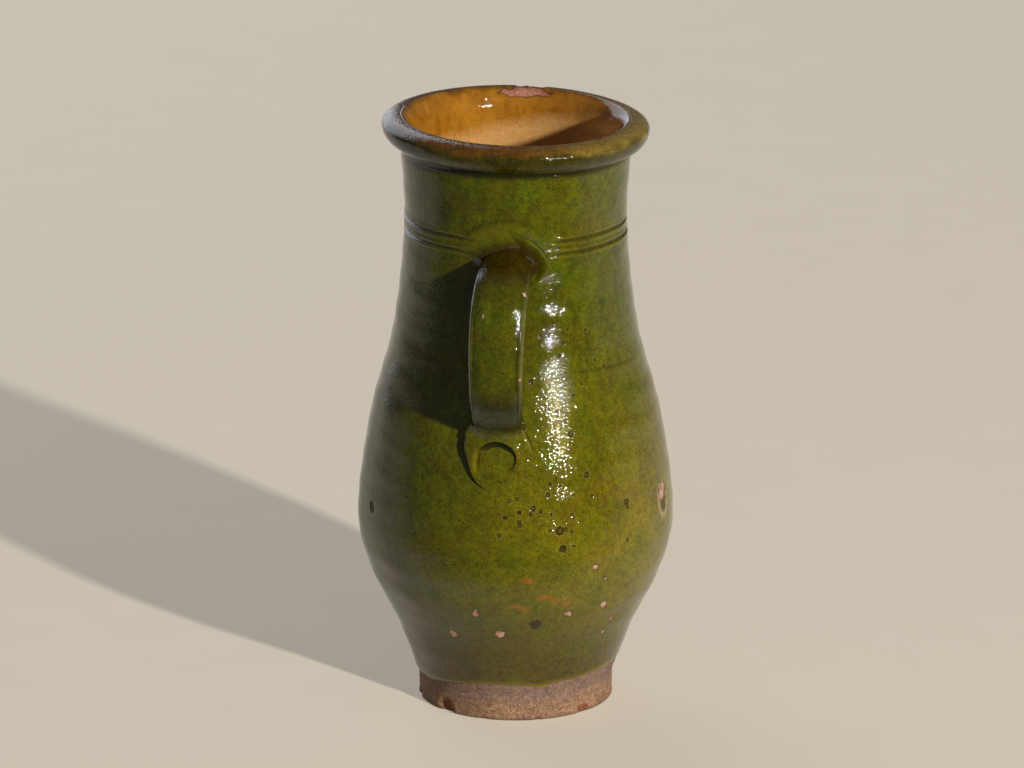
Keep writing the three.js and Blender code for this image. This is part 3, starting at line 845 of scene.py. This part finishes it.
def strap_tree():
    """Geometry nodes that sweep the strap: a capped tube whose length follows a curve and whose section is a
    flattened round with a ridge along each edge of its outer face."""
    line_ends = {"Start": "Root", "Start Handle": "Root Pull", "End Handle": "Landing Pull", "End": "Landing"}
    tree, known = new_tree("pulled strap", {
        "Blank": "Geometry", "Steps": "Int", "Sides": "Int", "Root Squareness": "Float", "Squareness": "Float",
        **{name: "Vector" for name in line_ends.values()}, **{name: "Float" for name in STRAP_SIZES},
        "Finish": "Material",
    })
    made = add(tree, "GeometryNodeMeshCylinder", {"Vertices": known["Sides"], "Side Segments": known["Steps"],
                                                  "Radius": 1.0, "Depth": 1.0}, "Mesh")
    known.update(add(tree, "SeparateXYZ", (add(tree, "GeometryNodeInputPosition"),), None).items())
    along = known["along"] = add(tree, "Math", (known["Z"], 0.5), operation="ADD", use_clamp=True)
    line = add(tree, "GeometryNodeCurvePrimitiveBezierSegment", {
        "Resolution": 96, **{socket: known[name] for socket, name in line_ends.items()}})
    bend = add(tree, "GeometryNodeSampleCurve", {"Curves": line, "Factor": along}, None, mode="FACTOR",
               use_all_curves=True)
    grow(tree, known, (
        ("squareness", "MapRange", "along", 0.1, 0.4, "Root Squareness", "Squareness"),
        ("squared", "DIVIDE", 2.0, "squareness"),
    ))
    for axis, name in (("X", "Width"), ("Y", "Thickness")):
        grow(tree, known, (
            ("upper", "MapRange", "along", 0.0, 0.4, "Root " + name, name),
            ("size", "MapRange", "along", 0.45, 1.0, "upper", "Foot " + name),
            ("reach", "ABSOLUTE", axis), ("blunt", "POWER", "reach", "squared"), ("sign", "SIGN", axis),
            ("side " + axis, "MULTIPLY", "blunt", "sign"), ("half", "MULTIPLY", "size", 0.5),
            ("offset " + axis, "MULTIPLY", "side " + axis, "half"),
        ))
    # A ridge stands along each edge of the outer face, with a shallow channel inside it
    known["fold"] = 0.0
    for place, width, amount in ((0.9, 0.045, 1.0), (0.8, 0.07, -0.15)):
        grow(tree, known, (
            ("apart", "ABSOLUTE", "side X"), ("shifted", "SUBTRACT", "apart", place),
            ("scaled", "DIVIDE", "shifted", width), ("square", "MULTIPLY", "scaled", "scaled"),
            ("fall", "MULTIPLY", "square", -1.0), ("bell", "EXPONENT", "fall"),
            ("fold", "MULTIPLY_ADD", "bell", amount, "fold"),
        ))
    # The pulling hand drags long faint streaks down the strap
    grow(tree, known, (
        ("outer", "MapRange", "Y", 0.0, 0.3), ("ridge", "MULTIPLY", "fold", "outer"),
        ("raised", "MULTIPLY_ADD", "ridge", "Ridge", "offset Y"),
        ("pulls", "MULTIPLY", "along", 2.6), ("spot", "CombineXYZ", "X", "Y", "pulls"),
        ("streaks", "TexNoise", "spot", 0, 3.2, 3.0), ("dragged", "MULTIPLY", "streaks", "Drag"),
        ("direction", "SIGN", "Y"), ("sunk", "MULTIPLY", "dragged", "direction"),
        ("thickness", "SUBTRACT", "raised", "sunk"), ("across", "CombineXYZ", 1.0),
    ))
    across = known["across"]
    outward = add(tree, "VectorMath", (bend["Tangent"], across), operation="CROSS_PRODUCT")
    place = bend["Position"]
    for direction, amount in ((across, "offset X"), (outward, "thickness")):
        step = add(tree, "VectorMath", {0: direction, "Scale": known[amount]}, operation="SCALE")
        place = add(tree, "VectorMath", (place, step), operation="ADD")
    for name, value in (("along", "along"), ("across", "side X"), ("outer", "Y")):
        made = add(tree, "GeometryNodeStoreNamedAttribute", {"Geometry": made, "Name": name, "Value": known[value]})
    return end_tree(tree, made, {"SetPosition": {"Position": place}, "SetShadeSmooth": {}, "RealizeInstances": {},
                                 "SetMaterial": {"Material": known["Finish"]}})


def pulled_strap():
    """The strap from its root inside the neck's wall to its landing inside the belly's."""
    root = wall_radius(HANDLE_ROOT) - STRAP_BURY
    landing = wall_radius(HANDLE_LANDING) - STRAP_BURY
    line = {
        "Root": (STRAP_LEAN[0], -root, HANDLE_ROOT),
        "Root Pull": (STRAP_LEAN[1], -root - UPPER_PULL, HANDLE_ROOT + UPPER_LIFT),
        "Landing Pull": (STRAP_LEAN[2], -landing - LOWER_PULL, HANDLE_LANDING + LOWER_LIFT),
        "Landing": (STRAP_LEAN[3], -landing, HANDLE_LANDING),
    }
    return run_tree(new_piece("pulled_strap", [(0, 0, 0)]), strap_tree(), {
        "Steps": 200, "Sides": 112, "Root Squareness": 2.0, "Squareness": 2.2, "Finish": GREEN_GLAZE,
        **{name: [c * MM for c in point] for name, point in line.items()},
        **{name: size * MM for name, size in STRAP_SIZES.items()},
    })


def read_mark(mesh, name):
    """The numbers stored for a mesh's points under a name."""
    values = np.empty(len(mesh.vertices))
    mesh.attributes[name].data.foreach_get("value", values)
    return values


# Bare breaks on the strap: place along it, place across it, half length along and half width across
STRAP_CHIPS = [(0.361, -0.47, 0.011, 0.045), (0.262, 0.9, 0.012, 0.06), (0.62, 0.93, 0.008, 0.045),
               (0.5, -0.95, 0.008, 0.05)]


def wear_strap(mesh):
    """Marks the worn edges and the small breaks of the strap, painted shade on its lower end, and its root browned by
    burnt glaze and painted shade.
    """
    along, across, outer = (read_mark(mesh, name) for name in ("along", "across", "outer"))
    edge = np.clip((np.abs(across) - 0.8) / 0.09, 0, 1) * (outer > -0.35)
    stretch = np.clip((along - 0.25) / 0.1, 0, 1) * np.clip((0.9 - along) / 0.1, 0, 1)
    inner_line = bell(across, 0.8, 0.05) * stretch
    shaded_end = ease((along - 0.62) / 0.16)
    chip = np.zeros(len(along))
    for place, side, half_length, half_width in STRAP_CHIPS:
        apart = np.hypot((along - place) / half_length, (across - side) / half_width)
        chip = np.maximum(chip, np.clip(1 - apart / 2, 0, 1) * (outer > 0))
    # The root's top is browned: thin burnt glaze, and painted shade on its top.
    scorch = ease((0.31 - along) / 0.17) * ease((outer + 0.4) / 0.5)
    mark(mesh, "wear", edge * stretch * np.where(across > 0, 0.5, 0.35))
    # The strap's lower end is painted dark as painted shade on its face turned down; a dark line also runs in the
    # channel inside each ridge.
    mark(mesh, "pool_and_shade", np.maximum(0.55 * inner_line, 0.8 * shaded_end) * (outer > 0))
    mark(mesh, "chip", ragged(points_of(mesh), chip, 0.9, 0.5))
    mark(mesh, "burnt", np.where(scorch > 0, 0.3 + 0.32 * scorch, 0))


strap = pulled_strap()
wear_strap(strap.data)
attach(strap, "root")
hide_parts("strap_handle")


# Handle collar: a roll of soft clay pressed round the strap's root and smeared out onto the neck,
# so that the joint dries as one with the wall. Its outer edge is feathered to nothing under the glaze.
COLLAR_HALF_WIDTH = 21.5
COLLAR_HALF_HEIGHT = 18.5
COLLAR_LIFT = 4.0
ROLL_REACH = 5.5
ROLL_FOOT = 7.2
FEATHER_DEPTH = 0.55
# How far the roll stands out round the root, anticlockwise from the right: angle and height
ROLL_TURNS = np.array([
    (0, 4.4), (25, 4.4), (45, 3.6), (62, 1.6), (82, 0.2), (170, 0.2), (190, -0.4), (240, -0.4), (275, 0.8),
    (305, 2.4), (330, 3.8), (360, 4.4),
])


def on_wall(aside, height, proud):
    """Points that stand off the glazed wall on the handle's side, from their place along and up it."""
    radius = wall_radius(height) + GLAZE_BED + GLAZE + proud
    angle = aside / wall_radius(height)
    x = radius * np.sin(angle)
    dip = MOUTH_SLOPE * ease((height - RIM_BASE + TILT_REACH) / TILT_REACH) * x
    return np.stack([x, -radius * np.cos(angle), height - dip], axis=-1) * MM


def patch(name, aside, height, proud, finish, marks):
    """A closed pad of clay on the wall, from rings of places and heights: its top with its marks, and a floor
    in the wall."""
    rings, spokes = proud.shape
    top = on_wall(aside, height, proud).reshape(-1, 3)
    floor = on_wall(aside, height, np.full_like(proud, -FEATHER_DEPTH - 0.1)).reshape(-1, 3)
    faces = []
    below = rings * spokes
    for i in range(rings - 1):
        for k in range(spokes):
            a, b = i * spokes + k, i * spokes + (k + 1) % spokes
            faces.append((a, b, b + spokes, a + spokes))
            faces.append((below + a + spokes, below + b + spokes, below + b, below + a))
    for k in range(spokes):
        a, b = k, (k + 1) % spokes
        faces.append((a, below + a, below + b, b))
        a, b = a + below - spokes, b + below - spokes
        faces.append((a, b, below + b, below + a))
    piece = new_piece(name, np.concatenate([top, floor]), faces=faces)
    piece.data.materials.append(finish)
    piece.data.polygons.foreach_set("use_smooth", [True] * len(faces))
    face_outwards(piece.data)
    for label, values in marks.items():
        mark(piece.data, label, np.concatenate([values.ravel(), np.zeros(values.size)]))
    return piece


def clay_collar():
    """Rings from just inside the strap's root out to the feathered edge: a roll of clay close round the strap,
    full on the right, where it was left standing, and pressed flat into the smear elsewhere."""
    spoke = np.linspace(0, math.tau, 144, endpoint=False)
    out = np.linspace(-0.12, 1, 56)[:, None]
    cosine, sine = np.cos(spoke), np.sin(spoke)
    inner = 1 / np.hypot(cosine / (ROOT_WIDTH / 2), sine / (ROOT_THICKNESS / 2))
    across = (cosine / COLLAR_HALF_WIDTH) ** 2 + (sine / COLLAR_HALF_HEIGHT) ** 2
    lean = sine * COLLAR_LIFT / COLLAR_HALF_HEIGHT**2
    outer = (lean + np.sqrt(lean**2 - across * ((COLLAR_LIFT / COLLAR_HALF_HEIGHT) ** 2 - 1))) / across
    reach = inner + (outer - inner) * out
    apart = reach - inner
    foot = np.minimum(ROLL_FOOT, 0.93 * (outer - inner))
    crest = foot * ROLL_REACH / ROLL_FOOT
    inside = 0.45 + 0.55 * ease((apart - 1) / np.maximum(crest - 1, 0.5))
    roll = np.where(apart < crest, inside, 1 - ease((apart - crest) / (foot - crest)))
    stout = np.interp(spoke, np.radians(ROLL_TURNS[:, 0]), ROLL_TURNS[:, 1])
    proud = stout * roll - FEATHER_DEPTH * ease((out - 0.55) / 0.45)
    proud += 0.15 * np.sin(5 * spoke + 1.3) * roll * ease(apart / crest) * (cosine > 0)
    return patch("clay_collar", ROOT_ASIDE + reach * cosine, HANDLE_ROOT + reach * sine, proud, GREEN_GLAZE, {
        # Dark right beside the strap and along the roll's foot: painted shade in the valley and at the foot.
        "pool_and_shade": np.maximum(0.6 * (1 - ease((apart + 1.0) / 2.4)), 0.35 * bell(apart, foot, 0.8)),
        # Brown round the root: burnt glaze, darkened as painted shade in the valley beside the strap.
        "burnt": (0.3 + 0.32 * (1 - ease((apart - 0.5) / 5))) * ease((sine + 0.6) / 0.5) * (apart < 5.5),
        "wear": 0.5 * bell(apart, crest, 0.7) * ease((cosine - 0.4) / 0.5),
    })


collar = clay_collar()
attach(collar, "root")
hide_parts("handle_collar")


# Thumbed pad: the strap's lower end, flattened onto the belly and fixed with one press of the thumb.
# The thumb leaves a round dish with a raised lip above and beside it, open towards the tail below.
THUMB_ASIDE = -0.3
THUMB_HEIGHT = 144.5
PAD_LIP = 1.2
# Round the thumbprint, clockwise from straight up: angle, reach to the pad's edge, height of the lip beside
# the print, and height further out before the edge
PAD_TURNS = np.array([
    (0, 21.5, 5.2, 6.5), (20, 22.0, 5.0, 5.4), (35, 22.4, 4.6, 3.8), (53, 19.3, 3.8, 2.0), (75, 19.0, 2.9, 0.8),
    (90, 19.0, 2.0, 0.0), (110, 18.4, 1.1, -0.3), (130, 18.2, 0.4, -0.4), (150, 18.0, 0.0, -0.4),
    (180, 18.0, 0.0, -0.4), (197, 17.9, 0.2, 0.2), (205, 17.0, 0.7, 0.7), (213, 16.2, 1.2, 1.2),
    (235, 15.0, 2.3, 2.3), (260, 15.2, 3.2, 3.2), (275, 16.6, 3.8, 3.7), (294, 20.4, 4.5, 4.0),
    (322, 23.5, 5.0, 5.2), (340, 22.2, 5.2, 6.2), (360, 21.5, 5.2, 6.5),
])
# Round the print in the same way: angle, and how far out the print reaches
PRINT_TURNS = np.array([(0, 8.9), (130, 8.9), (180, 11.5), (215, 12.6), (234, 11.4), (250, 9.8), (270, 9.0),
                        (360, 8.9)])
# Round the print again: angle, and how much painted shade darkens the corner of the dish
SHADE_TURNS = np.array([(0, 1), (60, 0.95), (100, 0.85), (122, 0.6), (140, 0), (285, 0), (308, 0.85), (360, 1)])
FILLET = 7.0
FACE_STEP = 0.5


def close_poles(mesh):
    """Joins the points of a mesh that lie in one place, such as a first ring of no width."""
    work = bmesh.new()
    work.from_mesh(mesh)
    bmesh.ops.remove_doubles(work, verts=work.verts, dist=0.01 * MM)
    bmesh.ops.dissolve_degenerate(work, edges=work.edges, dist=0.001 * MM)
    work.to_mesh(mesh)
    work.free()


def strap_face(aside, height):
    """How far the strap's outer face stands off the glazed wall at places on it. Beside the strap it falls off
    steeply, as the clay drawn down from its edges does."""
    tree = BVHTree.FromObject(strap, bpy.context.evaluated_depsgraph_get())
    sides = np.arange(-22, 22.1, FACE_STEP)
    levels = np.arange(THUMB_HEIGHT, THUMB_HEIGHT + 26, FACE_STEP)
    across, up = np.meshgrid(sides, levels)
    start, wall = on_wall(across, up, 40.0), on_wall(across, up, 0.0)
    found = np.full(across.shape, -9.0)
    for i in np.ndindex(across.shape):
        hit = tree.ray_cast(Vector(start[i]), Vector(wall[i] - start[i]).normalized())
        if hit[3] is not None:
            found[i] = np.linalg.norm(wall[i] - start[i]) / MM - hit[3] / MM
    fall = 1.6 * np.abs(sides[:, None] - sides)
    spread = (found[:, None, :] - fall).max(axis=2)
    column = np.clip((aside - sides[0]) / FACE_STEP, 0, len(sides) - 1.001)
    row = np.clip((height - levels[0]) / FACE_STEP, 0, len(levels) - 1.001)
    i, k = row.astype(int), column.astype(int)
    v, u = row - i, column - k
    return ((1 - v) * ((1 - u) * spread[i, k] + u * spread[i, k + 1])
            + v * ((1 - u) * spread[i + 1, k] + u * spread[i + 1, k + 1]))


def thumbed_pad():
    """Rings from the middle of the thumbprint out to the feathered edge of a shield-shaped pad with a tail,
    which runs up into the strap in a soft fillet."""
    spoke = np.linspace(0, math.tau, 180, endpoint=False)
    turned = np.degrees(spoke)
    up, aside = np.cos(spoke), np.sin(spoke)
    edge, lip, shoulder, print_edge, shade = (
        np.interp(turned, turns[:, 0], column)
        for turns in (PAD_TURNS, PRINT_TURNS, SHADE_TURNS) for column in turns.T[1:])
    rings = np.concatenate([np.linspace(0, 0.58, 8), np.linspace(0.61, 1.14, 26)])[:, None] * print_edge
    flank = np.linspace(0, 1, 34)[1:, None]
    reach = np.concatenate([rings, rings[-1] + (edge - rings[-1]) * flank])
    past_print = reach - print_edge
    places, heights = THUMB_ASIDE + reach * aside, THUMB_HEIGHT + reach * up
    # The dish and its lip, the flank and the feathered edge
    high = ease((up - 0.1) / 0.7)
    dish = 0.55 + 0.45 * up * np.minimum(reach / print_edge, 1)
    wide = PAD_LIP + 1.6 * high
    inside = dish + (np.maximum(lip, dish) - dish) * ease((past_print - 0.7 + wide) / wide)
    outward = np.clip((reach - rings[-1]) / (edge - rings[-1]), 0, 1)
    slope = inside + (shoulder - lip) * ease(outward / 0.72)
    drop = np.where((aside < 0) & (up < 0.6), 0.55, 0.7)
    proud = slope + (-FEATHER_DEPTH - slope) * ease((outward - drop) / (1 - drop))
    # The fillet up into the strap
    above = strap_face(places, heights) - proud
    beyond = np.abs(places - STRAP_LEAN[3]) - STRAP_SIZES["Foot Width"] / 2
    share = np.clip(0.5 + above / (2 * FILLET), 0, 1)
    sink = 0.25 * ease((above - 0.6 * FILLET) / (0.8 * FILLET))
    filled = above * share + FILLET * share * (1 - share) - sink
    beside = ease((outward - 0.5) / 0.45) * ease(beyond / 1.5)
    blend = ease((past_print - 0.2) / 2.5) * (1 - beside) * (up > 0)
    # Where the glaze lies thin on crests, and where painted shade darkens the corner of the dish, the left cliff, the
    # strap's end, the right edge and the left crease
    corner = 0.95 * shade * ease((past_print - 0.3 + wide + 1.2 * high) / 0.7) * (1 - ease((past_print - 0.2) / 0.6))
    cliff = 0.45 * bell(outward, 0.86, 0.14) * ease((-aside - 0.1) / 0.3) * ease((0.75 - up) / 0.3)
    strap_end = 0.65 * ease((filled - 1.5) / 4) * blend
    right_side = ease((turned - 28) / 10) * ease((84 - turned) / 10)
    right_edge = 0.75 * bell(outward, 0.86, 0.06) * right_side
    left_side = ease((turned - 225) / 20) * ease((305 - turned) / 20)
    crease = 0.7 * bell(past_print, -0.5, 0.5) * left_side
    crown = bell(past_print, 1.3, 1.0)
    piece = patch("thumb_pad", places, heights, proud + filled * blend, GREEN_GLAZE, {
        "pool_and_shade": np.max([corner, cliff, strap_end, right_edge, crease], axis=0),
        # Yellow on the left crest is thin glaze; the bright line along the right edge is a painted highlight.
        "fringe_and_highlight": 0.75 * np.maximum(crown * left_side, bell(outward, 0.76, 0.05) * right_side),
        "stain": 0.75 * crown * bell(turned, 80, 20),
    })
    close_poles(piece.data)
    return piece


pad = thumbed_pad()
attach(pad, "root")
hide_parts("thumbed_pad")


# Studio: a pale cream table under the jug, a key lamp from the right, a wide dim lamp behind and a dim even room.
# The table is matt and plain, wide enough to fill the picture behind the jug, and ends a little before it.
TABLE_HALF = 6.0
TABLE_FRONT = 0.15
TABLE_THICKNESS = 0.03
TABLE_LIFT = 0.36
ROOM_LIGHT = 0.11


def plain_table():
    """The table's top board, in matt cream paint that the camera and the glaze see a little brighter."""
    corners = [(x, y, z) for z in (-TABLE_THICKNESS, 0) for x, y in (
        (-TABLE_HALF, -TABLE_FRONT), (TABLE_HALF, -TABLE_FRONT), (TABLE_HALF, TABLE_HALF), (-TABLE_HALF, TABLE_HALF))]
    sides = [(i, (i + 1) % 4, (i + 1) % 4 + 4, i + 4) for i in range(4)]
    table = new_piece("pale_table", corners, faces=[(4, 5, 6, 7), (3, 2, 1, 0), *sides])
    material, tree, shader, known = new_material("matt_cream_paint")
    known.update(add(tree, "LightPath", out=None).items())
    grow(tree, known, (
        ("cloud", "TexNoise", "where", 0, 1 / 0.05, 4.0), ("seen", "MAXIMUM", "Is Camera Ray", "Is Glossy Ray"),
        ("shown", "MAXIMUM", "seen", "Is Transmission Ray"), ("lift", "MULTIPLY", "shown", TABLE_LIFT),
    ))
    tone = overlaid(tree, known, linear("#d5ccbb"), (("cloud", 0, 1, 1, "#d9d0c0"),))
    for name, value in (("Base Color", tone), ("Emission Color", tone), ("Emission Strength", known["lift"])):
        tree.links.new(value, shader.inputs[name])
    shader.inputs["Roughness"].default_value = 0.9
    shader.inputs["Specular IOR Level"].default_value = 0.2
    table.data.materials.append(material)


plain_table()


def lamp(name, place, aim, size, power, tint):
    """A soft rectangular lamp that faces a point."""
    data = bpy.data.lights.new(name, "AREA")
    data.shape = "RECTANGLE"
    data.size, data.size_y = size
    data.energy = power
    data.color = linear(tint)[:3]
    made = bpy.data.objects.new(name, data)
    bpy.context.scene.collection.objects.link(made)
    made.location = place
    back = np.array(place) - np.array(aim)
    made.rotation_euler = (math.acos(back[2] / np.linalg.norm(back)), 0, math.atan2(back[0], -back[1]))


lamp("key_lamp", (3.80, -4.22, 2.00), (0, 0, 0.16), (0.18, 0.24), 370, "#fff8ee")
lamp("back_lamp", (-1.75, 2.45, 1.35), (0, 0, 0.15), (2.6, 2.6), 30, "#eef3ff")

world = bpy.data.worlds.new("dim_studio")
world.use_nodes = True
world.node_tree.nodes["Background"].inputs["Color"].default_value = linear("#eef2f6")
world.node_tree.nodes["Background"].inputs["Strength"].default_value = ROOM_LIGHT
bpy.context.scene.world = world
bpy.context.scene.view_settings.view_transform = "Standard"


# Camera: a long lens well back, looking down a little from just right of the handle.
CAMERA_AZIMUTH = 7.0
CAMERA_DISTANCE = 4.0
CAMERA_HEIGHT = 1.3696
CAMERA_PITCH = 16.818
CAMERA_TURN = 0.026
FOCAL_PIXELS = 8395
IMAGE_WIDTH = 1024
SENSOR = 36.0

camera = bpy.data.objects.new("camera", bpy.data.cameras.new("camera"))
bpy.context.scene.collection.objects.link(camera)
camera.data.sensor_width = SENSOR
camera.data.lens = FOCAL_PIXELS * SENSOR / IMAGE_WIDTH
swing = math.radians(CAMERA_AZIMUTH)
camera.location = (CAMERA_DISTANCE * math.sin(swing), -CAMERA_DISTANCE * math.cos(swing), CAMERA_HEIGHT)
camera.rotation_euler = (math.radians(90 - CAMERA_PITCH), 0, math.radians(CAMERA_AZIMUTH + CAMERA_TURN))
bpy.context.scene.camera = camera
